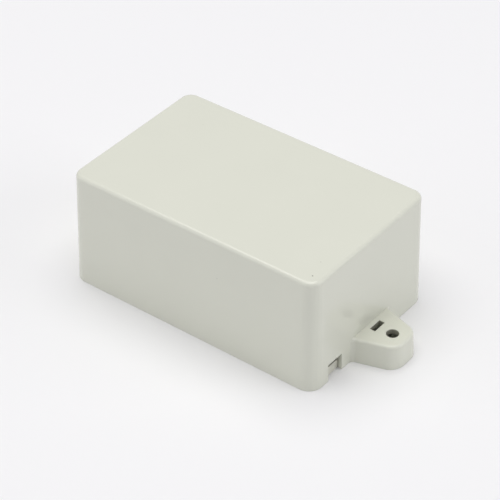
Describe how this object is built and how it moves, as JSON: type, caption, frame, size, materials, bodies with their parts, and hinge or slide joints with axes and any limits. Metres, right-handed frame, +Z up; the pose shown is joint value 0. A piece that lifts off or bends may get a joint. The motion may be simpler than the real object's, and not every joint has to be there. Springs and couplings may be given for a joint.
{
  "type": "wall-mount plastic project box",
  "caption": "Rectangular plastic enclosure: deep cover with a fixing ear at each end and a snap-in base plate with board posts.",
  "frame": {"origin": "on the ground, under the middle of the box", "axes": "+X along the length, towards one fixing ear; +Z up through the top face"},
  "size_m": [0.1062, 0.052, 0.035],
  "materials": {
    "cover_shell": "light warm grey moulded ABS with a fine even texture",
    "plate": "light warm grey moulded ABS, plain"
  },
  "bodies": {
    "base": {"base_plate": "plate"},
    "cover": {"cover": "cover_shell"}
  },
  "joints": [
    {"name": "cover_lift", "type": "slide", "parent": "base", "child": "cover", "axis": [0, 0, 1], "range_m": [0, 0.04]}
  ]
}
